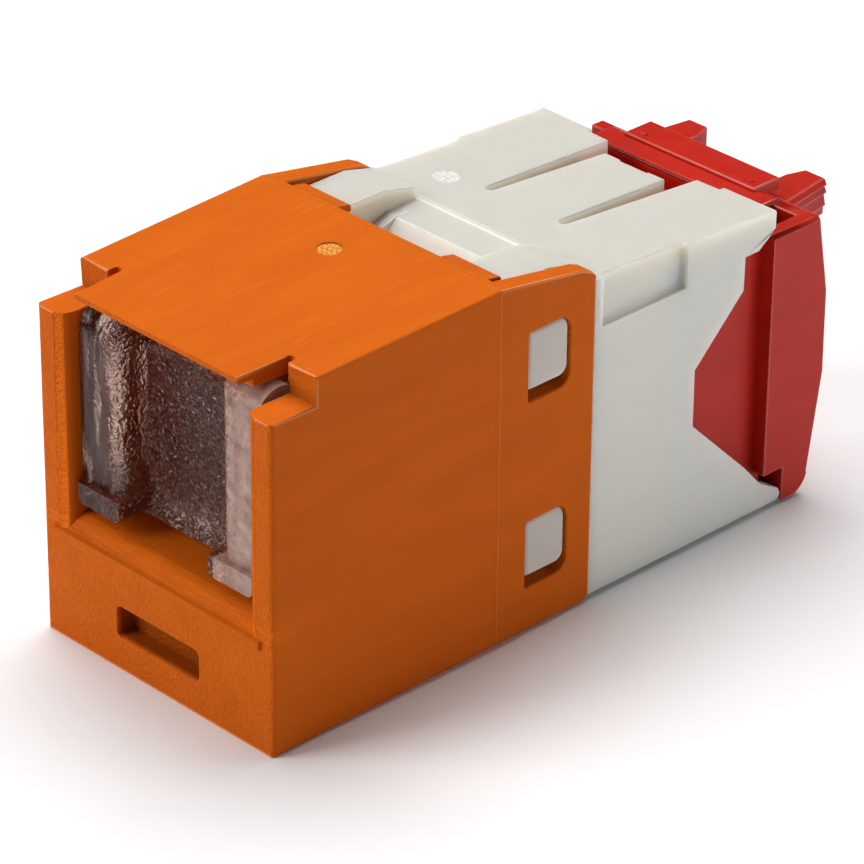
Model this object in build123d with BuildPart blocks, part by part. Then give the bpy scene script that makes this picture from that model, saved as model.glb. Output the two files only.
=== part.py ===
from build123d import *
import os
from math import cos, radians, sin

# Shuttered eight-position network jack module: a coloured front housing with a clear spring-loaded
# shutter, a white jack body that snaps into it, eight plug contacts on a sled, a circuit board, eight
# insulation-displacement contacts in a block, and a red cap that presses the wires onto them.
#
# Millimetres. +Z is up, +Y runs from the plug side to the cable side, and X runs across. The origin is
# midway along the module, on its underside. A "depth" is measured back from the front face, and a
# "height" up from the underside. A half width is measured from the middle plane.

# ---- front housing -------------------------------------------------------------------------------
RIB_PROUD = 0.2               # rib under the opening stands out of the front face
FRONT_HALF = 8.0              # half width at the front face
SEAM_HALF = 8.2               # half width at the parting line, where both mould halves are widest
ROOF_FRONT = 18.73            # height of the roof at the front face
SEAM_HEIGHT = 19.17           # height of the roof at the parting line
SEAM = 14.0                   # depth of the parting line
EAR_END = 20.4                # depth of the rear end of the two side ears
EAR_INNER_HALF = 7.05
EAR_END_HALF = 8.03
UNDERCUT = 0.95               # the housing is open below this height behind the parting line
OPENING_HALF = 6.25           # plug opening and the bay behind it
FLOOR = 6.67                  # height of the plug floor
FLOOR_BOTTOM = 5.5            # underside of the plug floor, over the sled chamber
CEILING = 17.92               # underside of the roof
BAY_END = 12.7                # the plug stops here
WALL_END = 13.6               # back of the wall at the end of the bay
ROOF_END = 14.4
POST_TOP = 17.37              # the two posts beside the opening stop below the roof
POST_STEP = 2.7               # depth of the step behind the post tops
POST_ROUNDING = 0.65          # inner front edge of each post
TAB_FRONT = 0.2               # front edge of the roof tab
TAB_FRONT_HALF = 5.45         # the tab widens a little towards its root
TAB_ROOT_HALF = 5.65
TAB_SLOT_HALF = 6.12          # a narrow slot frees each side of the tab
TAB_SLOT_END = 3.3
RIB_HALF = 7.2
RIB_LOW = 5.52
RIB_HIGH = 5.97
ICON_SLOT_HALF = 2.9          # slot for a snap-in label, empty here
ICON_SLOT_LOW = 1.77
ICON_SLOT_HIGH = 3.47
ICON_SLOT_DEPTH = 1.0
WINDOW_FRONT = 15.93          # two latch windows in each ear
WINDOW_REAR = 18.72
UPPER_WINDOW = (12.6, 16.26)
LOWER_WINDOW = (2.55, 6.16)
ROOF_LUG_X = (3.5, 6.6)       # two lugs behind the roof reach over the jack body
ROOF_LUG_END = 15.55
ROOF_LUG_BOTTOM = 18.35
EJECTOR_MARK_RADIUS = 0.65

# ---- shutter -------------------------------------------------------------------------------------
SHUTTER_HALF = 6.05
COLUMN_INNER = 3.4            # the two columns become the latch rails when the shutter is open
COLUMN_ROUNDING = 0.95
FOOT_INNER = 3.1
AXIS_DEPTH = 2.3              # hinge axis
AXIS_HEIGHT = 16.3
ARM_RADIUS = 1.45             # round top of each column, about the hinge axis
PANEL_FRONT = 2.65
PANEL_BACK = 3.45
PANEL_TOP = 15.9
FOOT_FRONT = 0.5
FOOT_TOP = 8.55
SHUTTER_BOTTOM = 7.45
AXLE_RADIUS = 0.6
AXLE_CLEARANCE = 0.05
AXLE_END = 7.1
SPRING_WIRE = 0.1             # wire radius
SPRING_RADIUS = 0.74          # mean radius of the coil
SPRING_PITCH = 0.22
SPRING_TURNS = 3
SPRING_START = 6.4            # distance of the coil's inner end from the middle plane
SPRING_POCKET_RADIUS = 0.92
SPRING_LEG_END = 4.7          # depth at which the fixed leg ends

# ---- jack body -----------------------------------------------------------------------------------
BODY_HALF = 7.95
NOSE_HALF = 6.95              # the part between the ears
NOSE_START = 13.7
NOSE_BOTTOM = 1.05
SLEEVE_START = 20.45
BODY_BOTTOM = 0.3
BODY_TOP_FRONT = 17.42
BODY_TOP_REAR = 16.72
FINGER_END = 32.5             # rear end of the two outer top fingers
MIDDLE_FINGER_END = 31.27
OUTER_FINGER_HALF = 4.5
SLEEVE_END = 32.87
LUG_FACE = 8.05               # the latch lugs come nearly flush with the ears
LUG_FRONT = 15.98
LUG_REAR = 18.63
RAIL_INNER = 4.05             # two rails beside the latch valley
RAMP_HALF = 3.35              # the ramp in the valley, with a facet on each side of it
RAIL_TOP = 18.42
POCKET_FACE = 7.6             # face of the shallow finger pocket in each side
SLEEVE_HALF = 7.28            # inside of the sleeve that takes the cap
SLEEVE_LOW = 1.0
SLEEVE_HIGH = 15.82
CAP_MOUTH = 25.8              # the sleeve widens here for the cap's side panels
BOARD_CHAMBER = 14.9
CHAMBER_BOTTOM = 1.6
CHAMBER_TOP = 14.5

# ---- contacts, board and block -------------------------------------------------------------------
CONTACTS = 8
CONTACT_PITCH = 1.016
CONTACT_WIDTH = 0.36
CONTACT_THICK = 0.26
HAIRPIN_DEPTH = 6.2
HAIRPIN_RADIUS = 0.75
TAIL_HEIGHT = 4.6
TAIL_END = 16.7
CONTACT_SLOPE = 29.0          # degrees
CONTACT_TIP = 12.4
SLED_HALF = 5.85
SLED_BOTTOM = 1.7
SLED_TOP = 5.3
SLED_FRONT = 4.95
BOARD_FRONT = 15.2
BOARD_BACK = 16.2
BOARD_HALF = 5.9
BOARD_BOTTOM = 1.8
BOARD_TOP = 14.3
BLOCK_FRONT = 16.8
BLOCK_BACK = 26.5
BLOCK_HALF = 6.0
BLOCK_HEIGHTS = (1.9, 14.3)
BLADE_X = (-4.8, -1.6, 1.6, 4.8)
BLADE_HEIGHTS = (13.0, 3.2)
BLADE_HALF = 0.95
BLADE_THICK = 0.4
BLADE_END = 30.5
BLADE_PIN_RADIUS = 0.2
BLADE_PIN_START = 15.2
BLADE_SLIT_HALF = 0.15
BLADE_SLIT_LENGTH = 2.6

# ---- termination cap -----------------------------------------------------------------------------
CAP_HALF = 7.22               # the part inside the sleeve
CAP_PANEL_INNER = 6.35
CAP_FRONT = 26.0
COMB_FRONT = 27.0
CAP_BOTTOM = 1.1
CAP_TOP = 14.7
CAP_SPACE = (4.4, 11.9)       # heights of the space that the cable's wires pass through
SHELL_FRONT = 32.75
SHELL_HALF = 8.0
SHELL_TOP = 15.4
SHELL_BOTTOM = 0.2
SHELL_WALL = 0.9
SHELL_NOTCH = (34.12, 2.05)   # depth and height of the corner that clears the jack body's tips
REAR_WALL = 35.2              # inner face of the rear wall
BEAM_HALF = 5.6
BEAM_TOP = 15.67
BEAM_FRONT = 33.7
BEAM_REAR = 35.95
PLATE_HALF = 4.4
PLATE_FRONT = 35.1
PLATE_REAR = 37.0
PLATE_TOP = 15.87
SQUEEZE_TAB_TOP = 14.87
SQUEEZE_TAB_REAR = 40.1
SQUEEZE_TAB_BOTTOM = 12.83
TOOTH_TIPS = (14.5, 14.08, 13.4)   # heights of the three finger ridges
TOOTH_PROUD = 0.2
CABLE_RADIUS = 3.8            # cable entry in the rear wall
CABLE_HEIGHT = 8.15

FRONT_Y = -(SQUEEZE_TAB_REAR - RIB_PROUD) / 2
PAST = 3.0                    # how far a cutting shape runs past the face that it cuts
SIDES = (-1, 1)

# Sketches on SIDE are drawn as (depth, height), on FRONT as (x, height) and on PLAN as (x, depth).
SIDE = Plane(origin=(0, FRONT_Y, 0), x_dir=(0, 1, 0), z_dir=(1, 0, 0))
FRONT = Plane(origin=(0, FRONT_Y, 0), x_dir=(1, 0, 0), z_dir=(0, -1, 0))
PLAN = Plane(origin=(0, FRONT_Y, 0), x_dir=(1, 0, 0), z_dir=(0, 0, 1))


def block(x_range, depths, heights, mode=Mode.ADD):
    """A box between two places across, two depths and two heights."""
    low_x, high_x = sorted(x_range)
    with Locations((low_x, FRONT_Y + depths[0], heights[0])):
        size = (high_x - low_x, depths[1] - depths[0], heights[1] - heights[0])
        Box(*size, align=(Align.MIN, Align.MIN, Align.MIN), mode=mode)


def rod(x_range, depth, height, radius, mode=Mode.ADD):
    """A round bar along X."""
    middle = (x_range[0] + x_range[1]) / 2
    with Locations(Location((middle, FRONT_Y + depth, height), (0, 90, 0))):
        Cylinder(radius, abs(x_range[1] - x_range[0]), mode=mode)


def outline(*points):
    """A closed face with straight edges, in the sketch being drawn."""
    with BuildLine() as border:
        Polyline(*points, close=True)
    make_face(border.edges())


def limits(x_range, heights):
    """A rectangle between two places across and two heights, in a sketch on FRONT."""
    with Locations(((x_range[0] + x_range[1]) / 2, (heights[0] + heights[1]) / 2)):
        Rectangle(abs(x_range[1] - x_range[0]), heights[1] - heights[0])


def near(value, target, tolerance=0.02):
    return abs(value - target) < tolerance


def finish(builder, name):
    """Label a finished piece and write it to its own file."""
    builder.part.label = name
    export_step(builder.part, f"parts/{name}.step")


def contact_places():
    """Where each plug contact stands across the module."""
    return [(number - (CONTACTS - 1) / 2) * CONTACT_PITCH for number in range(CONTACTS)]


os.makedirs("parts", exist_ok=True)

# Cutting shape for the front of the plug opening: rounded posts, and a sill that slopes down to the rib.
with BuildPart() as opening_front:
    with BuildSketch(SIDE):
        with BuildLine():
            Polyline((-PAST, RIB_HIGH), (0.12, RIB_HIGH), (0.42, 6.3))
            ThreePointArc((0.42, 6.3), (0.68, 6.54), (1.15, FLOOR + 0.01))
            Polyline((1.15, FLOOR + 0.01), (1.15, POST_TOP + 1), (-PAST, POST_TOP + 1), (-PAST, RIB_HIGH))
        make_face()
    extrude(amount=RIB_HALF, both=True)
    with BuildSketch(PLAN):
        limits((-OPENING_HALF - POST_ROUNDING, OPENING_HALF + POST_ROUNDING), (-PAST, PAST))
        for side in SIDES:
            with Locations((side * (OPENING_HALF + POST_ROUNDING), POST_ROUNDING)):
                Circle(POST_ROUNDING, mode=Mode.SUBTRACT)
            with Locations((side * (OPENING_HALF + POST_ROUNDING / 2), PAST / 2 + POST_ROUNDING)):
                Rectangle(POST_ROUNDING, PAST, mode=Mode.SUBTRACT)
    extrude(amount=SEAM_HEIGHT + 1, mode=Mode.INTERSECT)

# ---- front_housing: drafted shell, ears, roof tab, posts, sill and plug bay -----------------------
with BuildPart() as front_housing:
    with BuildSketch(FRONT):
        limits((-FRONT_HALF, FRONT_HALF), (0, ROOF_FRONT))
    with BuildSketch(FRONT.offset(-SEAM)):
        limits((-SEAM_HALF, SEAM_HALF), (0, SEAM_HEIGHT))
    loft()
    front_edges = front_housing.edges().filter_by(Axis.Z).group_by(Axis.Y)[0]
    fillet(front_edges, 0.25)
    long_edges = front_housing.edges().filter_by(lambda e: near(e.length, SEAM, 0.4))
    long_edges = long_edges.filter_by(lambda e: abs(e.center().X) > 7)
    fillet(long_edges.group_by(Axis.Z)[-1], 0.15)

    # Ears, narrowing slightly towards their rear ends, with a small chamfer under each side.
    for side in SIDES:
        with BuildSketch(FRONT.offset(-SEAM)):
            limits((side * EAR_INNER_HALF, side * SEAM_HALF), (0, SEAM_HEIGHT))
        with BuildSketch(FRONT.offset(-EAR_END)):
            limits((side * EAR_INNER_HALF, side * EAR_END_HALF), (0, SEAM_HEIGHT))
        loft()
    for side in SIDES:
        with BuildSketch(FRONT.offset(1)):
            outline((side * 7.85, 0), (side * 8.25, 0.5), (side * 9, 0.5), (side * 9, -1), (side * 7.85, -1))
        extrude(amount=-(EAR_END + 2), mode=Mode.SUBTRACT)
    with BuildSketch(SIDE):
        outline((SEAM, SEAM_HEIGHT), (19.5, 18.25), (20.1, 17.97), (EAR_END, 17.6), (EAR_END + PAST, 14.0),
                (EAR_END + PAST, SEAM_HEIGHT + 1), (SEAM, SEAM_HEIGHT + 1))
    extrude(amount=SEAM_HALF + 1, both=True, mode=Mode.SUBTRACT)
    with BuildSketch(SIDE):
        outline((SEAM, 0), (19.7, 0.1), (20.1, 0.23), (EAR_END, 0.6), (EAR_END + 1, 2.0),
                (EAR_END + 1, -1), (SEAM, -1))
    extrude(amount=SEAM_HALF + 1, both=True, mode=Mode.SUBTRACT)

    # Roof behind the parting line, and the two lugs that slope down to the rear.
    block((-EAR_INNER_HALF, EAR_INNER_HALF), (SEAM - 0.1, ROOF_END), (CEILING, SEAM_HEIGHT - 0.02))
    for side in SIDES:
        with BuildSketch(SIDE.offset(side * ROOF_LUG_X[0])):
            outline((SEAM - 0.5, 18.0), (SEAM - 0.5, 19.1), (SEAM + 0.1, 19.13),
                    (ROOF_LUG_END - 0.2, 18.86), (ROOF_LUG_END - 0.05, 18.78), (ROOF_LUG_END, 18.6),
                    (ROOF_LUG_END, ROOF_LUG_BOTTOM), (ROOF_END, ROOF_LUG_BOTTOM))
        extrude(amount=side * (ROOF_LUG_X[1] - ROOF_LUG_X[0]))

    # Plug bay, the pocket for the jack body, and the chamber under the plug floor.
    block((-OPENING_HALF, OPENING_HALF), (-PAST, BAY_END), (FLOOR, CEILING), Mode.SUBTRACT)
    block((-EAR_INNER_HALF, EAR_INNER_HALF), (WALL_END, SEAM + 0.5), (UNDERCUT, CEILING), Mode.SUBTRACT)
    block((-EAR_INNER_HALF, EAR_INNER_HALF), (SEAM, EAR_END + PAST), (-PAST, UNDERCUT), Mode.SUBTRACT)
    block((-6.0, 6.0), (2.4, WALL_END + 0.5), (1.3, FLOOR_BOTTOM), Mode.SUBTRACT)
    block((-4.3, 4.3), (5.1, BAY_END), (FLOOR_BOTTOM - 0.5, FLOOR + 0.5), Mode.SUBTRACT)
    for x in contact_places():
        block((x - 0.3, x + 0.3), (BAY_END - 0.5, WALL_END + 0.5), (7.2, 10.6), Mode.SUBTRACT)

    # Stepped post tops beside the roof tab, with a slot along each side of the tab.
    block((-OPENING_HALF, OPENING_HALF), (-PAST, TAB_FRONT), (POST_TOP, SEAM_HEIGHT + 1), Mode.SUBTRACT)
    for side in SIDES:
        step_x = (side * (TAB_SLOT_HALF - 0.05), side * (SEAM_HALF + 1))
        block(step_x, (-PAST, POST_STEP), (POST_TOP, SEAM_HEIGHT + 1), Mode.SUBTRACT)
        with BuildSketch(PLAN.offset(CEILING - 0.5)) as slot:
            outline((side * TAB_FRONT_HALF, -PAST), (side * TAB_ROOT_HALF, TAB_SLOT_END),
                    (side * TAB_SLOT_HALF, TAB_SLOT_END), (side * TAB_SLOT_HALF, -PAST))
            fillet(slot.vertices().group_by(Axis.Y)[-1], 0.2)
        extrude(amount=SEAM_HEIGHT - CEILING + 1, mode=Mode.SUBTRACT)

    # Posts and sill, and the rib under them.
    add(opening_front.part, mode=Mode.SUBTRACT)
    block((-RIB_HALF, RIB_HALF), (-RIB_PROUD, 0.3), (RIB_LOW, RIB_HIGH))
    rib_edges = front_housing.edges().filter_by(lambda e: near(e.center().Y, FRONT_Y - RIB_PROUD))
    fillet(rib_edges, 0.12)

    # Rounded front edge of the roof tab.
    tab_edges = front_housing.edges().filter_by(Axis.X)
    tab_edges = tab_edges.filter_by(lambda e: near(e.center().Y, FRONT_Y + TAB_FRONT) and e.length > 8)
    fillet(tab_edges.sort_by(Axis.Z)[-1], 0.2)

    # Label slot in the front face.
    with BuildSketch(FRONT.offset(0.5)):
        limits((-ICON_SLOT_HALF, ICON_SLOT_HALF), (ICON_SLOT_LOW, ICON_SLOT_HIGH))
        fillet(vertices(), 0.35)
    extrude(amount=-(ICON_SLOT_DEPTH + 0.5), mode=Mode.SUBTRACT)

    # Latch windows through the ears: nearly square at the front, well rounded at the rear.
    for heights in (UPPER_WINDOW, LOWER_WINDOW):
        with BuildSketch(SIDE) as window:
            with Locations(((WINDOW_FRONT + WINDOW_REAR) / 2, sum(heights) / 2)):
                Rectangle(WINDOW_REAR - WINDOW_FRONT, heights[1] - heights[0])
            fillet(window.vertices().group_by(Axis.X)[-1], 0.75)
            fillet(window.vertices().group_by(Axis.X)[0], 0.15)
        extrude(amount=SEAM_HALF + 1, both=True, mode=Mode.SUBTRACT)
    window_edges = front_housing.edges().filter_by(lambda e: abs(e.center().X) > EAR_END_HALF)
    window_edges = window_edges.filter_by(
        lambda e: WINDOW_FRONT - 0.01 < e.center().Y - FRONT_Y < WINDOW_REAR + 0.01 and 2 < e.center().Z < 17)
    fillet(window_edges, 0.1)

    # Hinge bores, the spring's pocket in the left wall and the slot for its fixed leg.
    for side in SIDES:
        bore_x = (side * (OPENING_HALF - 0.5), side * (AXLE_END + 0.1))
        rod(bore_x, AXIS_DEPTH, AXIS_HEIGHT, AXLE_RADIUS + AXLE_CLEARANCE, Mode.SUBTRACT)
    spring_end = SPRING_START + SPRING_TURNS * SPRING_PITCH
    pocket_x = (-(OPENING_HALF - 0.5), -(spring_end + SPRING_WIRE + 0.05))
    rod(pocket_x, AXIS_DEPTH, AXIS_HEIGHT, SPRING_POCKET_RADIUS, Mode.SUBTRACT)
    leg_height = AXIS_HEIGHT + SPRING_RADIUS
    block((-OPENING_HALF + 0.5, pocket_x[1]), (AXIS_DEPTH, SPRING_LEG_END + 0.1),
          (leg_height - 0.15, leg_height + 0.15), Mode.SUBTRACT)

    # Round ejector mark, a hair below the roof surface.
    with Locations((-0.4, FRONT_Y + 11.3, 19.08)):
        Cylinder(EJECTOR_MARK_RADIUS, 0.1, mode=Mode.SUBTRACT)
finish(front_housing, "front_housing")

# ---- shutter: clear door with two columns, feet, a recessed panel and stub axles ------------------
with BuildPart() as shutter:
    for side in SIDES:
        with BuildSketch(PLAN.offset(SHUTTER_BOTTOM)) as column:
            column_front = AXIS_DEPTH - ARM_RADIUS
            column_back = AXIS_DEPTH + ARM_RADIUS
            outline((side * COLUMN_INNER, column_front), (side * SHUTTER_HALF, column_front),
                    (side * SHUTTER_HALF, column_back), (side * COLUMN_INNER, column_back))
            front_corners = column.vertices().group_by(Axis.Y)[0].sort_by(Axis.X)
            fillet(front_corners[0] if side > 0 else front_corners[-1], COLUMN_ROUNDING)
        extrude(amount=AXIS_HEIGHT + ARM_RADIUS - SHUTTER_BOTTOM)
    with BuildSketch(SIDE):
        with BuildLine():
            ThreePointArc((AXIS_DEPTH - ARM_RADIUS, AXIS_HEIGHT), (AXIS_DEPTH, AXIS_HEIGHT + ARM_RADIUS),
                          (AXIS_DEPTH + ARM_RADIUS, AXIS_HEIGHT))
            Polyline((AXIS_DEPTH + ARM_RADIUS, AXIS_HEIGHT), (PANEL_BACK, AXIS_HEIGHT - 0.8),
                     (PANEL_BACK, SHUTTER_BOTTOM), (AXIS_DEPTH + ARM_RADIUS + 1, SHUTTER_BOTTOM),
                     (AXIS_DEPTH + ARM_RADIUS + 1, AXIS_HEIGHT + ARM_RADIUS + 1),
                     (AXIS_DEPTH - ARM_RADIUS - 1, AXIS_HEIGHT + ARM_RADIUS + 1),
                     (AXIS_DEPTH - ARM_RADIUS - 1, AXIS_HEIGHT), (AXIS_DEPTH - ARM_RADIUS, AXIS_HEIGHT))
        make_face()
    extrude(amount=SHUTTER_HALF + 1, both=True, mode=Mode.SUBTRACT)
    for side in SIDES:
        block((side * FOOT_INNER, side * SHUTTER_HALF), (FOOT_FRONT, PANEL_BACK), (SHUTTER_BOTTOM, FOOT_TOP))
    foot_edges = shutter.edges().filter_by(Axis.Y).group_by(Axis.Z)[0]
    fillet(foot_edges, 0.35)
    block((-COLUMN_INNER, COLUMN_INNER), (PANEL_FRONT, PANEL_BACK), (SHUTTER_BOTTOM, PANEL_TOP))

    # Lip along the panel's lower edge, with a hollow curve above it.
    with BuildSketch(SIDE):
        with BuildLine():
            Polyline((PANEL_FRONT + 0.1, SHUTTER_BOTTOM), (2.2, SHUTTER_BOTTOM), (2.2, SHUTTER_BOTTOM + 0.35))
            ThreePointArc((2.2, SHUTTER_BOTTOM + 0.35), (2.5, SHUTTER_BOTTOM + 0.62), (PANEL_FRONT, 8.6))
            Polyline((PANEL_FRONT, 8.6), (PANEL_FRONT + 0.1, 8.6), (PANEL_FRONT + 0.1, SHUTTER_BOTTOM))
        make_face()
    extrude(amount=FOOT_INNER + 0.1, both=True)
    for side in SIDES:
        rod((side * (SHUTTER_HALF - 0.5), side * AXLE_END), AXIS_DEPTH, AXIS_HEIGHT, AXLE_RADIUS)
    tang_x = (-(SHUTTER_HALF + 0.1), -(SHUTTER_HALF - 0.7))
    rod(tang_x, AXIS_DEPTH - SPRING_RADIUS, AXIS_HEIGHT, 0.16, Mode.SUBTRACT)
finish(shutter, "shutter")

# ---- shutter_spring: small torsion coil round the left axle ---------------------------------------
with BuildPart() as shutter_spring:
    coil_start = (-SPRING_START, FRONT_Y + AXIS_DEPTH, AXIS_HEIGHT)
    coil_length = SPRING_TURNS * SPRING_PITCH
    with BuildLine() as coil:
        Helix(SPRING_PITCH, coil_length, SPRING_RADIUS, center=coil_start, direction=(-1, 0, 0))
    with BuildSketch(Plane(origin=coil.line @ 0, z_dir=coil.line % 0)):
        Circle(SPRING_WIRE)
    sweep()
finish(shutter_spring, "shutter_spring")

# ---- jack_body: nose between the ears, sleeve for the cap, latch lugs and slit top ----------------
with BuildPart() as jack_body:
    with BuildSketch(SIDE):
        outline((SLEEVE_START, BODY_BOTTOM), (33.7, BODY_BOTTOM), (33.95, 0.4), (34.03, 0.65), (33.9, 0.97),
                (33.57, 1.15), (32.55, 1.76), (31.39, 3.07), (27.5, 6.9), (27.5, 9.98), (30.76, 13.15),
                (30.8, 14.92), (31.72, 14.93), (32.85, 15.71),
                (32.95, BODY_TOP_REAR), (SLEEVE_START, BODY_TOP_FRONT))
    extrude(amount=BODY_HALF, both=True)
    top_edges = jack_body.edges().filter_by(lambda e: near(e.center().Z, 17.07, 0.1) and e.length > 12)
    fillet(top_edges, 0.12)

    # Shallow pocket in the upper front of each side.
    for side in SIDES:
        block((side * POCKET_FACE, side * (BODY_HALF + 1)), (20.95, 26.7), (14.72, 19), Mode.SUBTRACT)
    pocket_edges = jack_body.edges().filter_by(lambda e: near(abs(e.center().X), POCKET_FACE, 0.01))
    pocket_edges = pocket_edges.filter_by(lambda e: e.center().Z < 16.9)
    fillet(pocket_edges, 0.3)

    # Nose: a valley with a ramp in the middle, and a rail on each side.
    with BuildSketch(SIDE):
        outline((NOSE_START, NOSE_BOTTOM), (NOSE_START, 15.2), (16.35, 15.2), (18.35, 17.2), (20.25, 17.3),
                (20.3, 17.41), (SLEEVE_START + 0.1, 17.41), (SLEEVE_START + 0.1, NOSE_BOTTOM))
    extrude(amount=RAIL_INNER, both=True)
    for side in SIDES:
        with BuildSketch(SIDE.offset(side * RAMP_HALF)):
            outline((15.4, 15.1), (17.0, 16.78), (18.35, 17.25), (20.2, 17.25), (20.2, 15.1))
        extrude(amount=side * (RAIL_INNER - RAMP_HALF))
        with BuildSketch(SIDE.offset(side * RAIL_INNER)):
            outline((NOSE_START, NOSE_BOTTOM), (NOSE_START, 17.8), (15.75, 17.8), (15.75, RAIL_TOP),
                    (18.3, RAIL_TOP), (20.2, 17.95), (20.4, 17.4), (SLEEVE_START + 0.1, 17.4),
                    (SLEEVE_START + 0.1, NOSE_BOTTOM))
        extrude(amount=side * (NOSE_HALF - RAIL_INNER))

    # Latch lugs that fill the ears' windows.
    for side in SIDES:
        for low, high in ((13.15, 16.22), (3.1, 6.12)):
            with BuildSketch(SIDE.offset(side * (NOSE_HALF - 0.2))) as lug:
                with Locations(((LUG_FRONT + LUG_REAR) / 2, (low + high) / 2)):
                    Rectangle(LUG_REAR - LUG_FRONT, high - low)
                fillet(lug.vertices().group_by(Axis.X)[-1], 0.6)
                fillet(lug.vertices().group_by(Axis.X)[0], 0.25)
            extrude(amount=side * (LUG_FACE - NOSE_HALF + 0.2))
    lug_faces = jack_body.faces().filter_by(Axis.X).filter_by(lambda f: near(abs(f.center().X), LUG_FACE))
    fillet(lug_faces.edges(), 0.24)

    # Hollows: board chamber, block chamber, sleeve for the cap, and the sled's way in.
    block((-6.1, 6.1), (BOARD_CHAMBER, CAP_MOUTH + 0.1), (CHAMBER_BOTTOM, CHAMBER_TOP), Mode.SUBTRACT)
    sleeve_x = (-SLEEVE_HALF, SLEEVE_HALF)
    block(sleeve_x, (CAP_MOUTH, 36), (SLEEVE_LOW, SLEEVE_HIGH), Mode.SUBTRACT)
    block((-6.0, 6.0), (NOSE_START - 1, BOARD_CHAMBER + 0.1), (CHAMBER_BOTTOM, 5.4), Mode.SUBTRACT)
    block((-4.3, 4.3), (NOSE_START - 1, 14.3), (7.0, 10.8), Mode.SUBTRACT)

    # Slits that free the three top fingers, widening to the rear.
    for side in SIDES:
        with BuildSketch(PLAN.offset(SLEEVE_HIGH - 1)) as slit:
            outline((side * 2.2, 23.55), (side * 2.75, 23.55), (side * 3.1, 36), (side * 1.93, 36))
            fillet(slit.vertices().group_by(Axis.Y)[0], 0.26)
        extrude(amount=PAST, mode=Mode.SUBTRACT)
    block((-2.6, 2.6), (MIDDLE_FINGER_END, 36), (SLEEVE_HIGH - 1, 19), Mode.SUBTRACT)
    block((-0.95, 0.95), (MIDDLE_FINGER_END - 0.17, 36), (SLEEVE_HIGH - 1, 19), Mode.SUBTRACT)
    for side in SIDES:
        block((side * 2.6, side * OUTER_FINGER_HALF), (FINGER_END, 36), (SLEEVE_HIGH - 1, 19), Mode.SUBTRACT)
        block((side * OUTER_FINGER_HALF, side * 9), (SLEEVE_END, 36), (15.9, 19), Mode.SUBTRACT)
finish(jack_body, "jack_body")

# ---- contact_sled: carries the plug contacts' tails -----------------------------------------------
with BuildPart() as contact_sled:
    block((-SLED_HALF, SLED_HALF), (HAIRPIN_DEPTH, BOARD_FRONT - 0.05), (SLED_BOTTOM, SLED_TOP))
    block((-SLED_HALF, SLED_HALF), (SLED_FRONT, HAIRPIN_DEPTH), (SLED_BOTTOM, TAIL_HEIGHT - 0.5))
    half_thick = CONTACT_THICK / 2
    for x in contact_places():
        channel_x = (x - CONTACT_WIDTH / 2, x + CONTACT_WIDTH / 2)
        block(channel_x, (HAIRPIN_DEPTH - 1, BOARD_FRONT),
              (TAIL_HEIGHT - half_thick, TAIL_HEIGHT + half_thick), Mode.SUBTRACT)
finish(contact_sled, "contact_sled")

# ---- contact_tails: fixed half of the eight contacts, from the board round the hairpin -------------
hairpin_height = TAIL_HEIGHT + HAIRPIN_RADIUS
hairpin_turn = 180 - CONTACT_SLOPE
pivot_depth = HAIRPIN_DEPTH - HAIRPIN_RADIUS * sin(radians(CONTACT_SLOPE))
pivot_height = hairpin_height + HAIRPIN_RADIUS * cos(radians(CONTACT_SLOPE))

with BuildPart() as contact_tails:
    for x in contact_places():
        with BuildSketch(SIDE.offset(x - CONTACT_WIDTH / 2)):
            with BuildLine():
                Line((TAIL_END, TAIL_HEIGHT), (HAIRPIN_DEPTH, TAIL_HEIGHT))
                CenterArc((HAIRPIN_DEPTH, hairpin_height), HAIRPIN_RADIUS, 270, -hairpin_turn)
            trace(line_width=CONTACT_THICK)
        extrude(amount=CONTACT_WIDTH)
finish(contact_tails, "contact_tails")

# ---- plug_contact_1 to 8: the sprung half of each contact ------------------------------------------
rise = sin(radians(CONTACT_SLOPE)) / cos(radians(CONTACT_SLOPE))
tip_height = pivot_height + (CONTACT_TIP - pivot_depth) * rise
for number, x in enumerate(contact_places(), start=1):
    with BuildPart() as plug_contact:
        with BuildSketch(SIDE.offset(x - CONTACT_WIDTH / 2)):
            with BuildLine():
                Line((pivot_depth, pivot_height), (CONTACT_TIP, tip_height))
            trace(line_width=CONTACT_THICK)
        extrude(amount=CONTACT_WIDTH)
    finish(plug_contact, f"plug_contact_{number}")

# ---- circuit_board --------------------------------------------------------------------------------
with BuildPart() as circuit_board:
    block((-BOARD_HALF, BOARD_HALF), (BOARD_FRONT, BOARD_BACK), (BOARD_BOTTOM, BOARD_TOP))
    hole_plane = FRONT.offset(-(BOARD_FRONT + BOARD_BACK) / 2)
    with BuildSketch(hole_plane):
        with Locations([(x, TAIL_HEIGHT) for x in contact_places()]):
            Circle(0.27)
        with Locations([(x, height) for x in BLADE_X for height in BLADE_HEIGHTS]):
            Circle(BLADE_PIN_RADIUS + 0.05)
    extrude(amount=1, both=True, mode=Mode.SUBTRACT)
finish(circuit_board, "circuit_board")

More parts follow.
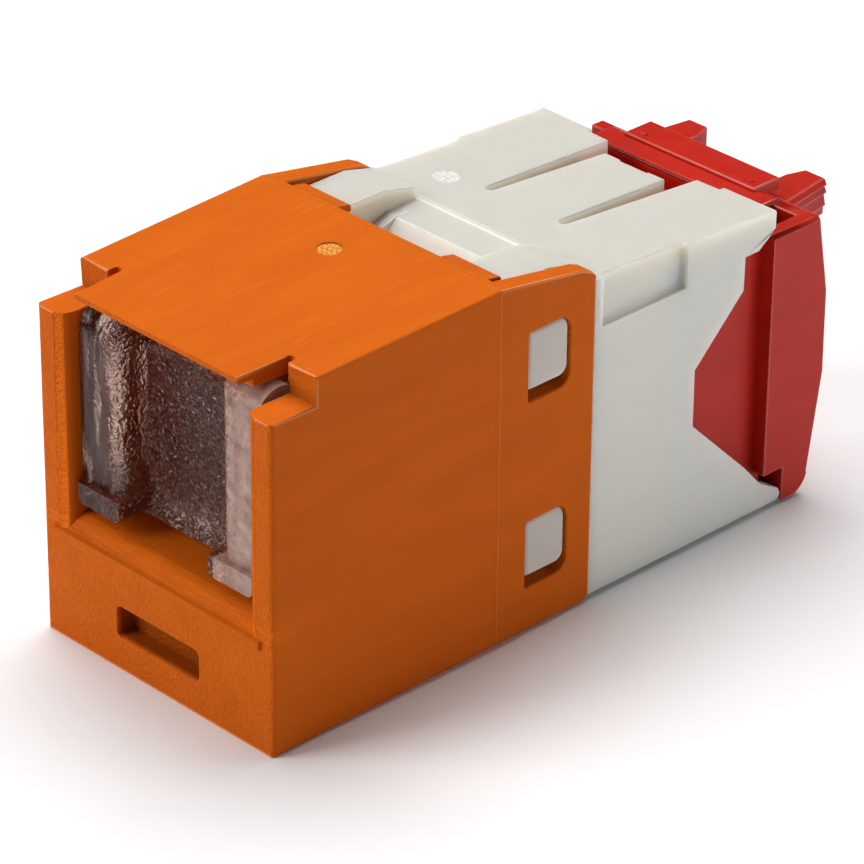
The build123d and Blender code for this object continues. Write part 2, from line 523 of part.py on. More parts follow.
# ---- idc_contact_1 to 8: forked blades that cut through the wires' insulation ---------------------
number = 0
for height in BLADE_HEIGHTS:
    for x in BLADE_X:
        number += 1
        with BuildPart() as idc_contact:
            with BuildSketch(PLAN.offset(height - BLADE_THICK / 2)):
                outline((x - BLADE_HALF, BLOCK_FRONT), (x + BLADE_HALF, BLOCK_FRONT),
                        (x + BLADE_HALF, BLADE_END - 0.5), (x + BLADE_HALF - 0.3, BLADE_END),
                        (x + 0.4, BLADE_END), (x + BLADE_SLIT_HALF, BLADE_END - 0.5),
                        (x + BLADE_SLIT_HALF, BLADE_END - BLADE_SLIT_LENGTH),
                        (x - BLADE_SLIT_HALF, BLADE_END - BLADE_SLIT_LENGTH),
                        (x - BLADE_SLIT_HALF, BLADE_END - 0.5), (x - 0.4, BLADE_END),
                        (x - BLADE_HALF + 0.3, BLADE_END), (x - BLADE_HALF, BLADE_END - 0.5))
            extrude(amount=BLADE_THICK)
            with BuildSketch(FRONT.offset(-BLOCK_FRONT - 0.1)):
                with Locations((x, height)):
                    Circle(BLADE_PIN_RADIUS)
            extrude(amount=BLOCK_FRONT + 0.1 - BLADE_PIN_START)
        finish(idc_contact, f"idc_contact_{number}")

# ---- idc_block: holds the blades ------------------------------------------------------------------
with BuildPart() as idc_block:
    block((-BLOCK_HALF, BLOCK_HALF), (BLOCK_FRONT, BLOCK_BACK), BLOCK_HEIGHTS)
    for height in BLADE_HEIGHTS:
        for x in BLADE_X:
            block((x - BLADE_HALF, x + BLADE_HALF), (BLOCK_FRONT - 1, BLOCK_BACK + 1),
                  (height - BLADE_THICK / 2, height + BLADE_THICK / 2), Mode.SUBTRACT)
finish(idc_block, "idc_block")

# ---- termination_cap: presses the wires onto the blades; two squeeze tabs release it --------------
with BuildPart() as termination_cap:
    # Side panels, and the two combs that hold the wires over the blades.
    block((-CAP_HALF, CAP_HALF), (CAP_FRONT, SHELL_FRONT + 0.5), (CAP_BOTTOM, CAP_TOP))
    block((-CAP_PANEL_INNER, CAP_PANEL_INNER), (CAP_FRONT - 1, COMB_FRONT), (0, 20), Mode.SUBTRACT)

    # Rear shell, bowed towards the cable.
    with BuildSketch(SIDE):
        with BuildLine():
            Polyline((SHELL_NOTCH[0], SHELL_BOTTOM), SHELL_NOTCH, (SHELL_FRONT, SHELL_NOTCH[1]),
                     (SHELL_FRONT, SHELL_TOP), (36.0, SHELL_TOP), (36.78, 11.07), (36.8, 6.57), (35.95, 1.25))
            ThreePointArc((35.95, 1.25), (35.6, 0.53), (34.9, SHELL_BOTTOM))
            Line((34.9, SHELL_BOTTOM), (SHELL_NOTCH[0], SHELL_BOTTOM))
        make_face()
    extrude(amount=SHELL_HALF, both=True)

    # Space for the wires, open to the front, and the gaps beside the beam.
    block((-CAP_PANEL_INNER, CAP_PANEL_INNER), (CAP_FRONT - 1, REAR_WALL), CAP_SPACE, Mode.SUBTRACT)
    block((-SHELL_HALF + SHELL_WALL, SHELL_HALF - SHELL_WALL), (SHELL_FRONT - 1, REAR_WALL),
          (CAP_TOP, 20), Mode.SUBTRACT)
    for side in SIDES:
        gap_x = (side * BEAM_HALF, side * (SHELL_HALF - SHELL_WALL))
        block(gap_x, (SHELL_FRONT - 0.3, REAR_WALL), (13.4, 20), Mode.SUBTRACT)

    block((-SHELL_HALF, -6.8), (SHELL_FRONT - 0.1, 37), (13.9, 20), Mode.SUBTRACT)
    shell_edges = termination_cap.edges().filter_by(Axis.Y).group_by(Axis.Z)[-1]
    fillet(shell_edges.sort_by(Axis.X)[-1], 0.3)

    # Beam, marked plate and squeeze tabs.
    with BuildSketch(SIDE):
        outline((BEAM_FRONT, CAP_TOP - 0.5), (BEAM_FRONT, BEAM_TOP - 0.3),
                (BEAM_FRONT + 0.09, BEAM_TOP - 0.09), (BEAM_FRONT + 0.3, BEAM_TOP),
                (BEAM_REAR - 0.6, BEAM_TOP), (BEAM_REAR - 0.18, BEAM_TOP - 0.18),
                (BEAM_REAR, BEAM_TOP - 0.6), (BEAM_REAR, CAP_TOP - 0.5))
    extrude(amount=BEAM_HALF, both=True)
    block((-PLATE_HALF, PLATE_HALF), (PLATE_FRONT, PLATE_REAR), (15.2, PLATE_TOP))
    for side in SIDES:
        with Locations((side * 3.6, FRONT_Y + 35.55, PLATE_TOP)):
            Box(0.5, 0.25, 0.12)
        top = SQUEEZE_TAB_TOP
        for tip, proud in [(tip, TOOTH_PROUD) for tip in TOOTH_TIPS] + [(SQUEEZE_TAB_BOTTOM, 0.0)]:
            for height, out in ((top, 0.0), (tip, proud)):
                with BuildSketch(PLAN.offset(height)):
                    outline((side * 3.0, 35.8), (side * 3.0, 39.0), (side * 3.35, SQUEEZE_TAB_REAR),
                            (side * (4.6 + out), SQUEEZE_TAB_REAR), (side * (5.15 + out), 36.4),
                            (side * (5.15 + out), 35.8))
            loft()
            top = tip

    # Slots for the blades, grooves for the wires, and the cable entry.
    for height in BLADE_HEIGHTS:
        for x in BLADE_X:
            block((x - BLADE_HALF - 0.12, x + BLADE_HALF + 0.12), (CAP_FRONT - 1, BLADE_END + 1),
                  (height - BLADE_THICK / 2 - 0.12, height + BLADE_THICK / 2 + 0.12), Mode.SUBTRACT)
            inner = CAP_SPACE[1] if height > CABLE_HEIGHT else CAP_SPACE[0]
            with Locations((x, FRONT_Y + BLADE_END - 1.3, (height + inner) / 2)):
                Cylinder(0.5, abs(height - inner) + 1.4, mode=Mode.SUBTRACT)
    with BuildSketch(FRONT.offset(-REAR_WALL + 0.5)):
        with Locations((0, CABLE_HEIGHT)):
            Circle(CABLE_RADIUS)
    extrude(amount=-PAST, mode=Mode.SUBTRACT)
finish(termination_cap, "termination_cap")
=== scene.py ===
from math import cos, radians, sin

import bmesh
import bpy
from mathutils import Matrix, Vector


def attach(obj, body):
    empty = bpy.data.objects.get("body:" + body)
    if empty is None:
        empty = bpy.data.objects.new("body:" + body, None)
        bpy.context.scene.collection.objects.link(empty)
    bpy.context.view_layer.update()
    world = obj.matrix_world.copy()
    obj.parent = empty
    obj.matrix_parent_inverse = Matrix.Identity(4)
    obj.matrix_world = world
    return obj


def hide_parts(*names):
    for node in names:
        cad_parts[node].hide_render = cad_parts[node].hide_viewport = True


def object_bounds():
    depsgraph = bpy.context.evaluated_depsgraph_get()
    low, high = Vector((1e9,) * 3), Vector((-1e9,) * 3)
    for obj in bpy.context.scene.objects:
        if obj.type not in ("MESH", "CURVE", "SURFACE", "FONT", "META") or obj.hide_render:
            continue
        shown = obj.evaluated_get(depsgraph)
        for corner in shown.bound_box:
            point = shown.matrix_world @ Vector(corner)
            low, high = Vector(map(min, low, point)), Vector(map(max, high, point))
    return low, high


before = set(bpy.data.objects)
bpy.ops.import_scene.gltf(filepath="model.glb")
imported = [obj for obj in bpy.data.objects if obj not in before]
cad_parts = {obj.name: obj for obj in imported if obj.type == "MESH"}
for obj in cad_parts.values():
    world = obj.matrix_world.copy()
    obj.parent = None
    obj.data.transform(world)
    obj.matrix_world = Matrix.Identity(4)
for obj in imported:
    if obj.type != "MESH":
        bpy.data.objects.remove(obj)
cad_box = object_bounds()

# ---- sizes and places --------------------------------------------------------------------------
# A depth is measured back from the housing's front face, and a height up from the underside.

MM = 0.001
RIB_PROUD = 0.2 * MM                  # the rib stands this far out of the front face
FRONT_Y = cad_box[0][1] + RIB_PROUD
PARTING_DEPTH = 14.0 * MM             # where the two mould halves of the housing met
PARTING_HALF_WIDTH = 0.03 * MM
SILL_DEPTH = 1.3 * MM
SILL_HEIGHTS = (6.0 * MM, 6.65 * MM)
LABEL_SLOT_DEPTHS = (0.35 * MM, 1.1 * MM)
LABEL_SLOT_HEIGHTS = (1.7 * MM, 3.5 * MM)
LABEL_SLOT_HALF = 2.95 * MM
EJECTOR_MARK = (-0.4 * MM, FRONT_Y + 11.3 * MM, 19.09 * MM)
EJECTOR_MARK_RADIUS = 0.62 * MM
GATE_MARK = (-4.75 * MM, FRONT_Y + 23.08 * MM, 17.3 * MM)
GATE_MARK_RADIUS = 0.68 * MM
LUG_START = 7.96 * MM                 # the latch lugs stand out of the jack body from here
LUG_END = 8.0 * MM
SHUTTER_PANEL_HALF = 3.3 * MM
HAMMERED_X = (-3.9 * MM, 4.2 * MM)    # the hammered texture runs a little onto the columns
GRAIN = 0.12 * MM                     # finest grain of the moulded plastics

HOUSING_ROUNDING = 0.11 * MM
BODY_ROUNDING = 0.07 * MM
CAP_ROUNDING = 0.08 * MM
SHORTEST_ROUNDED_EDGE = 0.6 * MM
ROUNDED_EDGE_ANGLE = radians(40)      # an edge flatter than this stays as it is
SMOOTH_ANGLE = radians(35)
MERGE_DISTANCE = 0.0005 * MM
FLAT_ANGLE = radians(0.3)

# ---- colours -----------------------------------------------------------------------------------

ORANGE = (0.61, 0.115, 0.004)
# painted highlight on the housing's rounded edges
ORANGE_EDGE_HIGHLIGHT = (0.76, 0.19, 0.018)
ORANGE_STROKE = (0.78, 0.19, 0.015)
ORANGE_PARTING = (0.85, 0.26, 0.04)
EJECTOR_FLECK = (0.95, 0.46, 0.10)
# A lit and a shaded copy of the white: painted light on the sides and other faces, painted shade on top.
WHITE_SIDE_LIT = (0.77, 0.755, 0.69)
WHITE_TOP_SHADED = (0.60, 0.58, 0.52)
# painted highlight on the body's rounded edges
WHITE_EDGE_HIGHLIGHT = (0.80, 0.79, 0.74)
WHITE_LUG = (0.45, 0.37, 0.32)
GATE_FLECK = (0.95, 0.94, 0.90)
RED = (0.48, 0.014, 0.005)
# painted highlight on the cap's rounded edges
RED_EDGE_HIGHLIGHT = (0.60, 0.08, 0.05)
SMOKE_DARK = (0.54, 0.34, 0.28)
SMOKE_LIGHT = (0.72, 0.51, 0.43)
SMOKE_REFLECTION = (0.22, 0.16, 0.14)
BOARD_GREEN = (0.015, 0.11, 0.04)
BOARD_COPPER_RUN = (0.03, 0.22, 0.07)
SLED_BLACK = (0.02, 0.02, 0.02)
BLOCK_GREY = (0.45, 0.44, 0.40)
GOLD = (0.90, 0.62, 0.22)
TIN = (0.72, 0.72, 0.70)
STEEL = (0.62, 0.62, 0.62)
LEFT_FROST_SHADED = 0.01                     # how frosted the shutter's columns and flecks are, from 0 to 1; the right column's extra frost is painted light, the flecks are painted glints
RIGHT_FROST_LIT = 0.5
FLECK_GLINT = 0.36


def shade(colour, factor):
    """The colour made darker by a factor under 1, or lighter by one above 1."""
    return tuple(min(1.0, channel * factor) for channel in colour)


# ---- shared node helpers -----------------------------------------------------------------------


def new_material(name):
    """An empty node material with its output and a Principled shader."""
    material = bpy.data.materials.new(name)
    material.use_nodes = True
    tree = material.node_tree
    tree.nodes.clear()
    output = tree.nodes.new("ShaderNodeOutputMaterial")
    shader = tree.nodes.new("ShaderNodeBsdfPrincipled")
    tree.links.new(shader.outputs["BSDF"], output.inputs["Surface"])
    return material, tree, shader


def noise(tree, size, detail=2.0, stretch=(1.0, 1.0, 1.0), roughness=0.5):
    """Noise with features of about this size in metres, stretched along the object's axes."""
    place = tree.nodes.new("ShaderNodeTexCoord")
    scaled = tree.nodes.new("ShaderNodeMapping")
    scaled.inputs["Scale"].default_value = tuple(1.0 / s for s in stretch)
    texture = tree.nodes.new("ShaderNodeTexNoise")
    texture.inputs["Scale"].default_value = 1.0 / size
    texture.inputs["Detail"].default_value = detail
    texture.inputs["Roughness"].default_value = roughness
    tree.links.new(place.outputs["Object"], scaled.inputs["Vector"])
    tree.links.new(scaled.outputs["Vector"], texture.inputs["Vector"])
    return texture.outputs["Fac"]


def ramp(tree, value, low, high, start, end):
    """Maps value from low..high to start..end, held at both ends."""
    node = tree.nodes.new("ShaderNodeMapRange")
    node.inputs["From Min"].default_value = low
    node.inputs["From Max"].default_value = high
    node.inputs["To Min"].default_value = start
    node.inputs["To Max"].default_value = end
    tree.links.new(value, node.inputs["Value"])
    return node.outputs["Result"]


def maths(tree, operation, first, second):
    """A math node on two values, each a socket or a number."""
    node = tree.nodes.new("ShaderNodeMath")
    node.operation = operation
    for slot, value in zip(node.inputs, (first, second)):
        if hasattr(value, "default_value"):
            tree.links.new(value, slot)
        else:
            slot.default_value = value
    return node.outputs["Value"]


def product(tree, first, second):
    """The product of two values, each a socket or a number."""
    return maths(tree, "MULTIPLY", first, second)


def blend(tree, amount, first, second):
    """Mixes two colours, each a socket or an RGB, by an amount that is a socket or a number."""
    node = tree.nodes.new("ShaderNodeMix")
    node.data_type = "RGBA"
    factor_slot, first_slot, second_slot = node.inputs[0], node.inputs[6], node.inputs[7]
    for slot, value in ((factor_slot, amount), (first_slot, first), (second_slot, second)):
        if hasattr(value, "default_value"):
            tree.links.new(value, slot)
        elif isinstance(value, tuple):
            slot.default_value = (*value, 1.0)
        else:
            slot.default_value = value
    return node.outputs[2]


def bump(tree, height, distance, normal=None):
    """A bump of this height in metres, on top of an earlier bump if one is given."""
    node = tree.nodes.new("ShaderNodeBump")
    node.inputs["Distance"].default_value = distance
    node.inputs["Strength"].default_value = 1.0
    tree.links.new(height, node.inputs["Height"])
    if normal is not None:
        tree.links.new(normal, node.inputs["Normal"])
    return node.outputs["Normal"]


def facing(tree, axis, low, high):
    """1 where the surface's normal component along X, Y or Z is above high, and 0 below low."""
    geometry = tree.nodes.new("ShaderNodeNewGeometry")
    split = tree.nodes.new("ShaderNodeSeparateXYZ")
    tree.links.new(geometry.outputs["True Normal"], split.inputs["Vector"])
    return ramp(tree, split.outputs[axis], low, high, 0.0, 1.0)


def along(tree, axis):
    """The object's own coordinate along X, Y or Z, in metres."""
    place = tree.nodes.new("ShaderNodeTexCoord")
    split = tree.nodes.new("ShaderNodeSeparateXYZ")
    tree.links.new(place.outputs["Object"], split.inputs["Vector"])
    return split.outputs[axis]


def within(tree, value, low, high, soft):
    """1 where value lies between low and high, falling to 0 over a soft margin outside them."""
    above = ramp(tree, value, low - soft, low, 0.0, 1.0)
    below = ramp(tree, value, high, high + soft, 1.0, 0.0)
    return product(tree, above, below)


def spot(tree, centre, radius, soft):
    """1 inside a ball round this place, in metres."""
    place = tree.nodes.new("ShaderNodeTexCoord")
    gap = tree.nodes.new("ShaderNodeVectorMath")
    gap.operation = "DISTANCE"
    gap.inputs[1].default_value = centre
    tree.links.new(place.outputs["Object"], gap.inputs[0])
    return ramp(tree, gap.outputs["Value"], radius - soft, radius + soft, 1.0, 0.0)


def edges(tree, radius):
    """1 close to sharp edges and 0 on flat faces."""
    rounded = tree.nodes.new("ShaderNodeBevel")
    rounded.samples = 4
    rounded.inputs["Radius"].default_value = radius
    geometry = tree.nodes.new("ShaderNodeNewGeometry")
    compare = tree.nodes.new("ShaderNodeVectorMath")
    compare.operation = "DOT_PRODUCT"
    tree.links.new(rounded.outputs["Normal"], compare.inputs[0])
    tree.links.new(geometry.outputs["Normal"], compare.inputs[1])
    return ramp(tree, compare.outputs["Value"], 0.86, 0.99, 1.0, 0.0)


# ---- materials ---------------------------------------------------------------------------------


class Plastic:
    """A moulded plastic: colour, relief and gloss gather here before they join the shader."""

    def __init__(self, name, colour, roughness, specular, streak=0.04):
        self.material, self.tree, self.shader = new_material(name)
        flow = noise(self.tree, 1.6 * MM, 4.0, (1.0, 5.0, 1.0))
        mottle = noise(self.tree, 0.35 * MM, 4.0)
        streaked = ramp(self.tree, flow, 0.3, 0.7, 0.0, 1.0)
        self.colour = blend(self.tree, streaked, shade(colour, 1 - streak), shade(colour, 1 + streak))
        self.mix(ramp(self.tree, mottle, 0.3, 0.7, 0.0, 0.10), shade(colour, 0.85))
        self.normal = None
        self.roughness = roughness
        self.shader.inputs["IOR"].default_value = 1.5
        self.shader.inputs["Specular IOR Level"].default_value = specular

    def mix(self, amount, colour):
        self.colour = blend(self.tree, amount, self.colour, colour)

    def relief(self, height, distance):
        self.normal = bump(self.tree, height, distance, self.normal)

    def fine_grain(self, size, distance):
        self.relief(noise(self.tree, size, 3.0, roughness=0.6), distance)

    def finish(self):
        gloss = noise(self.tree, 1.2 * MM, 3.0)
        uneven = ramp(self.tree, gloss, 0.3, 0.7, self.roughness - 0.06, self.roughness + 0.06)
        self.tree.links.new(uneven, self.shader.inputs["Roughness"])
        self.tree.links.new(self.colour, self.shader.inputs["Base Color"])
        self.tree.links.new(self.normal, self.shader.inputs["Normal"])
        return self.material


def orange_plastic():
    """Orange housing: pebbled front, fine grain elsewhere, the marks that its mould left, and painted
    shade in the pebbles' hollows and the label slot.
    """
    skin = Plastic("orange_housing", ORANGE, 0.6, 0.06, 0.05)
    tree = skin.tree
    front = maths(tree, "SUBTRACT", 1.0, facing(tree, "Y", -0.95, -0.5))
    pebbles = noise(tree, 0.14 * MM, 2.0, roughness=0.4)
    skin.fine_grain(GRAIN, 0.007 * MM)
    skin.relief(product(tree, pebbles, front), 0.12 * MM)
    # painted shade in the hollows of the pebbled front
    hollow_shade = ramp(tree, pebbles, 0.35, 0.65, 0.16, 0.0)
    skin.mix(product(tree, hollow_shade, front), shade(ORANGE, 0.75))

    # Draw marks across the sill, and flow marks along the roof.
    depth = maths(tree, "SUBTRACT", along(tree, "Y"), FRONT_Y)
    height = along(tree, "Z")
    sill = product(tree, within(tree, depth, 0.0, SILL_DEPTH, 0.1 * MM),
                   within(tree, height, *SILL_HEIGHTS, 0.05 * MM))
    scrape = ramp(tree, noise(tree, GRAIN, 3.0, (14.0, 1.0, 1.0)), 0.4, 0.62, 0.0, 0.5)
    skin.mix(product(tree, sill, scrape), shade(ORANGE, 1.35))
    roof = facing(tree, "Z", 0.9, 0.99)
    strokes = ramp(tree, noise(tree, 0.22 * MM, 3.0, (1.0, 18.0, 1.0)), 0.55, 0.75, 0.0, 0.25)
    skin.mix(product(tree, roof, strokes), ORANGE_STROKE)

    # Rough ejector mark on the roof, and painted shade at the bottom of the label slot.
    mark = spot(tree, EJECTOR_MARK, EJECTOR_MARK_RADIUS, 0.06 * MM)
    flecks = noise(tree, 0.16 * MM, 4.0, roughness=0.7)
    skin.mix(product(tree, mark, ramp(tree, flecks, 0.42, 0.6, 0.15, 1.0)), EJECTOR_FLECK)
    skin.relief(product(tree, mark, flecks), 0.10 * MM)
    slot = product(tree, within(tree, depth, *LABEL_SLOT_DEPTHS, 0.2 * MM),
                   within(tree, height, *LABEL_SLOT_HEIGHTS, 0.02 * MM))
    across = within(tree, along(tree, "X"), -LABEL_SLOT_HALF, LABEL_SLOT_HALF, 0.02 * MM)
    slot = product(tree, slot, across)
    # painted shade inside the label slot, away from its mouth
    skin.mix(product(tree, slot, 0.62), shade(ORANGE, 0.2))

    # Parting line between the two mould halves.
    parting = within(tree, depth, PARTING_DEPTH - PARTING_HALF_WIDTH,
                     PARTING_DEPTH + PARTING_HALF_WIDTH, 0.03 * MM)
    skin.relief(parting, 0.03 * MM)
    skin.mix(product(tree, parting, 0.35), ORANGE_PARTING)
    return skin.finish()


def white_plastic():
    """White jack body: slightly translucent, with painted light on its sides and painted shade on top,
    warmer lugs, and a rough gate mark.
    """
    skin = Plastic("white_body", WHITE_SIDE_LIT, 0.42, 0.3, 0.012)
    tree = skin.tree
    # painted shade: faces that look up take the darker copy
    skin.mix(facing(tree, "Z", 0.75, 0.95), WHITE_TOP_SHADED)
    distance_out = maths(tree, "ABSOLUTE", along(tree, "X"), 0.0)
    skin.mix(ramp(tree, distance_out, LUG_START, LUG_END, 0.0, 0.5), WHITE_LUG)
    skin.fine_grain(0.2 * MM, 0.003 * MM)
    skin.relief(noise(tree, 3.0 * MM, 2.0), 0.02 * MM)
    gate = spot(tree, GATE_MARK, GATE_MARK_RADIUS, 0.08 * MM)
    flecks = noise(tree, 0.12 * MM, 4.0, roughness=0.7)
    skin.mix(product(tree, gate, ramp(tree, flecks, 0.45, 0.55, 0.0, 1.0)), GATE_FLECK)
    skin.relief(product(tree, gate, flecks), 0.08 * MM)
    skin.shader.inputs["Subsurface Weight"].default_value = 0.85
    skin.shader.inputs["Subsurface Radius"].default_value = (1.0, 0.8, 0.6)
    skin.shader.inputs["Subsurface Scale"].default_value = 1.8 * MM
    return skin.finish()


def red_plastic():
    """Red cap: glossier than the housing, with a soft swirl."""
    skin = Plastic("red_cap", RED, 0.4, 0.2, 0.08)
    skin.fine_grain(0.2 * MM, 0.004 * MM)
    skin.relief(noise(skin.tree, 1.5 * MM, 2.0), 0.015 * MM)
    return skin.finish()


def edge_highlight(name, colour, roughness):
    """The rounded edges of a moulding: a painted highlight, paler and shinier than its faces, broken up
    in random darker patches.
    """
    skin = Plastic(name, colour, roughness, 0.5)
    skin.fine_grain(GRAIN, 0.01 * MM)
    patches = ramp(skin.tree, noise(skin.tree, 0.4 * MM, 3.0), 0.35, 0.65, 0.0, 0.6)
    skin.mix(patches, shade(colour, 0.8))
    return skin.finish()


def plain_plastic(name, colour, roughness):
    """An inner moulding: one colour with fine grain and a painted highlight along its edges."""
    skin = Plastic(name, colour, roughness, 0.4)
    skin.fine_grain(0.2 * MM, 0.005 * MM)
    # painted highlight: a paler colour close to the edges
    skin.mix(product(skin.tree, edges(skin.tree, 0.08 * MM), 0.5), shade(colour, 1.6))
    return skin.finish()


def board_material():
    """Green circuit board with darker and lighter copper runs under the mask."""
    skin = Plastic("board_green", BOARD_GREEN, 0.35, 0.5)
    tree = skin.tree
    runs = tree.nodes.new("ShaderNodeTexWave")
    runs.bands_direction = "X"
    runs.inputs["Scale"].default_value = 250.0
    runs.inputs["Distortion"].default_value = 6.0
    runs.inputs["Detail"].default_value = 0.0
    place = tree.nodes.new("ShaderNodeTexCoord")
    tree.links.new(place.outputs["Object"], runs.inputs["Vector"])
    copper = ramp(tree, runs.outputs["Fac"], 0.55, 0.65, 0.0, 1.0)
    skin.mix(copper, BOARD_COPPER_RUN)
    skin.relief(copper, 0.03 * MM)
    return skin.finish()


def clear_plastic():
    """Smoky clear shutter: hammered panel with painted glints as bright flecks, smoother columns, the
    right one frosted more as painted light.
    """
    material, tree, shader = new_material("clear_shutter")
    smoke = ramp(tree, noise(tree, 0.9 * MM, 3.0), 0.3, 0.7, 0.0, 1.0)
    tree.links.new(blend(tree, smoke, SMOKE_DARK, SMOKE_LIGHT), shader.inputs["Base Color"])
    shader.inputs["IOR"].default_value = 1.5
    shader.inputs["Specular Tint"].default_value = (*SMOKE_REFLECTION, 1.0)

    # Frosting: patchy on the columns, heavier on the right one as painted light, and small bright flecks
    # over the hammered part as painted glints.
    across = along(tree, "X")
    hammered = noise(tree, 0.19 * MM, 1.0, roughness=0.4)
    textured = within(tree, across, *HAMMERED_X, 0.5 * MM)
    panel = within(tree, across, -SHUTTER_PANEL_HALF, SHUTTER_PANEL_HALF, 0.1 * MM)
    frost_and_light = ramp(tree, across, SHUTTER_PANEL_HALF, SHUTTER_PANEL_HALF + 0.2 * MM, LEFT_FROST_SHADED, RIGHT_FROST_LIT)
    frost_and_light = product(tree, frost_and_light, maths(tree, "SUBTRACT", 1.0, panel))
    patchy = ramp(tree, noise(tree, 0.5 * MM, 4.0), 0.3, 0.7, 0.7, 1.3)
    flecks = product(tree, textured, ramp(tree, hammered, 0.60, 0.68, 0.0, FLECK_GLINT))
    frost_and_light = maths(tree, "ADD", product(tree, frost_and_light, patchy), flecks)
    tree.links.new(maths(tree, "SUBTRACT", 1.0, frost_and_light), shader.inputs["Transmission Weight"])

    rough = ramp(tree, noise(tree, 0.6 * MM, 3.0), 0.35, 0.65, 0.04, 0.12)
    tree.links.new(rough, shader.inputs["Roughness"])
    depth_of_grain = ramp(tree, textured, 0.0, 1.0, 0.15, 1.0)
    waves = bump(tree, noise(tree, 1.4 * MM, 1.5, (1.0, 1.0, 3.0)), 0.2 * MM)
    grain = bump(tree, product(tree, hammered, depth_of_grain), 0.12 * MM, waves)
    tree.links.new(grain, shader.inputs["Normal"])
    return material


def metal(name, colour, roughness):
    """Plated metal with fine rolling marks along it."""
    material, tree, shader = new_material(name)
    wear = noise(tree, 0.5 * MM, 4.0)
    rolled = noise(tree, 0.05 * MM, 3.0, (1.0, 20.0, 1.0))
    dulled = blend(tree, ramp(tree, wear, 0.3, 0.7, 0.0, 1.0), colour, shade(colour, 0.75))
    tree.links.new(dulled, shader.inputs["Base Color"])
    uneven = ramp(tree, wear, 0.3, 0.7, roughness - 0.05, roughness + 0.12)
    tree.links.new(uneven, shader.inputs["Roughness"])
    tree.links.new(bump(tree, rolled, 0.004 * MM), shader.inputs["Normal"])
    shader.inputs["Metallic"].default_value = 1.0
    return material


gold = metal("gold_plate", GOLD, 0.25)
tin = metal("tin_plate", TIN, 0.3)
NODE_MATERIALS = {
    "front_housing": orange_plastic(),
    "shutter": clear_plastic(),
    "shutter_spring": metal("spring_steel", STEEL, 0.3),
    "jack_body": white_plastic(),
    "contact_sled": plain_plastic("sled_black", SLED_BLACK, 0.5),
    "circuit_board": board_material(),
    "contact_tails": gold,
    "idc_block": plain_plastic("block_grey", BLOCK_GREY, 0.5),
    "termination_cap": red_plastic(),
}
for number in range(1, 9):
    NODE_MATERIALS[f"plug_contact_{number}"] = gold
    NODE_MATERIALS[f"idc_contact_{number}"] = tin

# ---- pieces ------------------------------------------------------------------------------------


def narrowest_side(edge):
    """The mean width, away from this edge, of the narrower of its two faces."""
    return min(face.calc_area() for face in edge.link_faces) / edge.calc_length()


def takes_rounding(edge, width):
    """Whether an edge is sharp, outward, long enough and between wide enough faces."""
    if not edge.is_manifold or not edge.is_convex:
        return False
    if edge.calc_face_angle(0) <= ROUNDED_EDGE_ANGLE or edge.calc_length() <= SHORTEST_ROUNDED_EDGE:
        return False
    return narrowest_side(edge) > 2 * width


def soft_edged(node, body, width, highlight_material):
    """A copy of a CAD node with its sharp edges rounded and given a painted highlight, standing for the
    node.
    """
    shape = bmesh.new()
    shape.from_mesh(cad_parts[node].data)
    bmesh.ops.remove_doubles(shape, verts=shape.verts, dist=MERGE_DISTANCE)
    bmesh.ops.dissolve_limit(shape, angle_limit=FLAT_ANGLE, verts=shape.verts, edges=shape.edges)
    sharp_edges = [edge for edge in shape.edges if takes_rounding(edge, width)]
    bmesh.ops.bevel(shape, geom=sharp_edges, offset=width, offset_type="OFFSET", segments=3,
                    profile=0.5, affect="EDGES", clamp_overlap=False, material=1)
    mesh = bpy.data.meshes.new(node + "_soft")
    shape.to_mesh(mesh)
    shape.free()
    piece = bpy.data.objects.new(node + "_soft", mesh)
    bpy.context.scene.collection.objects.link(piece)
    mesh.materials.append(NODE_MATERIALS[node])
    mesh.materials.append(highlight_material)
    mesh.shade_smooth()
    mesh.set_sharp_from_angle(angle=SMOOTH_ANGLE)
    flatten = piece.modifiers.new("flat_faces", "WEIGHTED_NORMAL")
    flatten.keep_sharp = True
    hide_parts(node)
    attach(piece, body)


for name, cad_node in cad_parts.items():
    cad_node.data.materials.clear()
    cad_node.data.materials.append(NODE_MATERIALS[name])

# The rounded edges of housing, body and cap carry a painted highlight.
soft_edged("front_housing", "jack", HOUSING_ROUNDING, edge_highlight("orange_edge_highlight", ORANGE_EDGE_HIGHLIGHT, 0.4))
soft_edged("jack_body", "jack", BODY_ROUNDING, edge_highlight("white_edge_highlight", WHITE_EDGE_HIGHLIGHT, 0.4))
soft_edged("termination_cap", "cap", CAP_ROUNDING, edge_highlight("red_edge_highlight", RED_EDGE_HIGHLIGHT, 0.38))

# ---- floor -------------------------------------------------------------------------------------

FLOOR_HALF = 3.0
floor_mesh = bpy.data.meshes.new("floor")
floor_corners = [(-FLOOR_HALF, -FLOOR_HALF, 0), (FLOOR_HALF, -FLOOR_HALF, 0),
                 (FLOOR_HALF, FLOOR_HALF, 0), (-FLOOR_HALF, FLOOR_HALF, 0)]
floor_mesh.from_pydata(floor_corners, [], [(0, 1, 2, 3)])
floor = bpy.data.objects.new("floor", floor_mesh)
bpy.context.scene.collection.objects.link(floor)
floor_material, floor_tree, floor_shader = new_material("pale_floor")
floor_shader.inputs["Base Color"].default_value = (0.90, 0.90, 0.90, 1.0)
floor_shader.inputs["Roughness"].default_value = 0.8
floor_mesh.materials.append(floor_material)

# ---- lights ------------------------------------------------------------------------------------


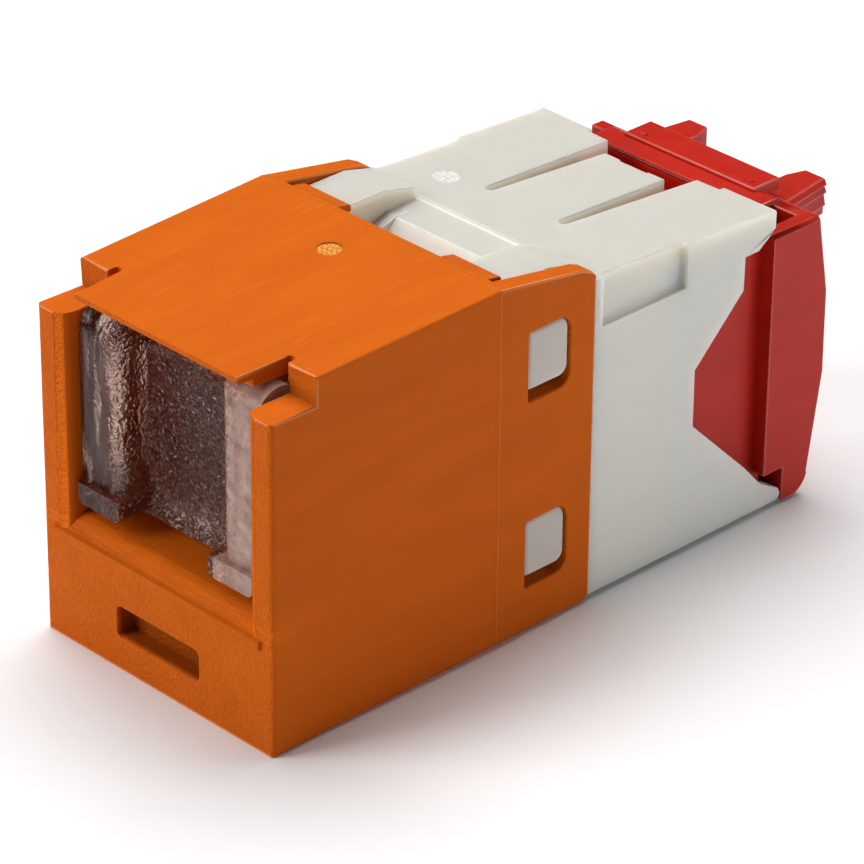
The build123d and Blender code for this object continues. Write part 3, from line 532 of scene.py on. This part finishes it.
def area_light(name, place, aim, size, power):
    """A soft rectangular light at a place, turned to face its aim; metres and watts."""
    lamp = bpy.data.lights.new(name, "AREA")
    lamp.shape = "RECTANGLE"
    lamp.size, lamp.size_y = size
    lamp.energy = power
    lamp_object = bpy.data.objects.new(name, lamp)
    lamp_object.location = place
    direction = Vector(aim) - Vector(place)
    lamp_object.rotation_euler = direction.to_track_quat("-Z", "Y").to_euler()
    bpy.context.scene.collection.objects.link(lamp_object)


MIDDLE = (0.0, 0.0, 0.010)
CAP_SIDE = (0.008, 0.010, 0.004)
area_light("overhead", (-0.10, 0.09, 0.42), MIDDLE, (0.36, 0.30), 2.1)
area_light("front_left", (-0.22, -0.36, 0.24), MIDDLE, (0.24, 0.24), 1.42)
area_light("right_rear", (0.085, 0.070, 0.022), CAP_SIDE, (0.05, 0.03), 0.027)

world = bpy.data.worlds.new("studio")
world.use_nodes = True
world.node_tree.nodes["Background"].inputs["Color"].default_value = (1.0, 1.0, 1.0, 1.0)
world.node_tree.nodes["Background"].inputs["Strength"].default_value = 0.05
bpy.context.scene.world = world

# ---- camera ------------------------------------------------------------------------------------

AZIMUTH = radians(45.877)
ELEVATION = radians(29.1715)
ROLL = radians(0.5065)
CAMERA_PLACE = (0.147226, -0.145122, 0.121620)
camera_data = bpy.data.cameras.new("camera")
camera_data.sensor_width = 36.0
camera_data.lens = 203.34
camera_data.clip_start = 0.01
camera = bpy.data.objects.new("camera", camera_data)
right = Vector((cos(AZIMUTH), sin(AZIMUTH), 0.0))
back = Vector((sin(AZIMUTH) * cos(ELEVATION), -cos(AZIMUTH) * cos(ELEVATION), sin(ELEVATION)))
up = back.cross(right)
rolled_right = right * cos(ROLL) + up * sin(ROLL)
rolled_up = up * cos(ROLL) - right * sin(ROLL)
turn = Matrix((rolled_right, rolled_up, back)).transposed().to_4x4()
camera.matrix_world = Matrix.Translation(CAMERA_PLACE) @ turn
bpy.context.scene.collection.objects.link(camera)
bpy.context.scene.camera = camera
bpy.context.scene.view_settings.view_transform = "Standard"
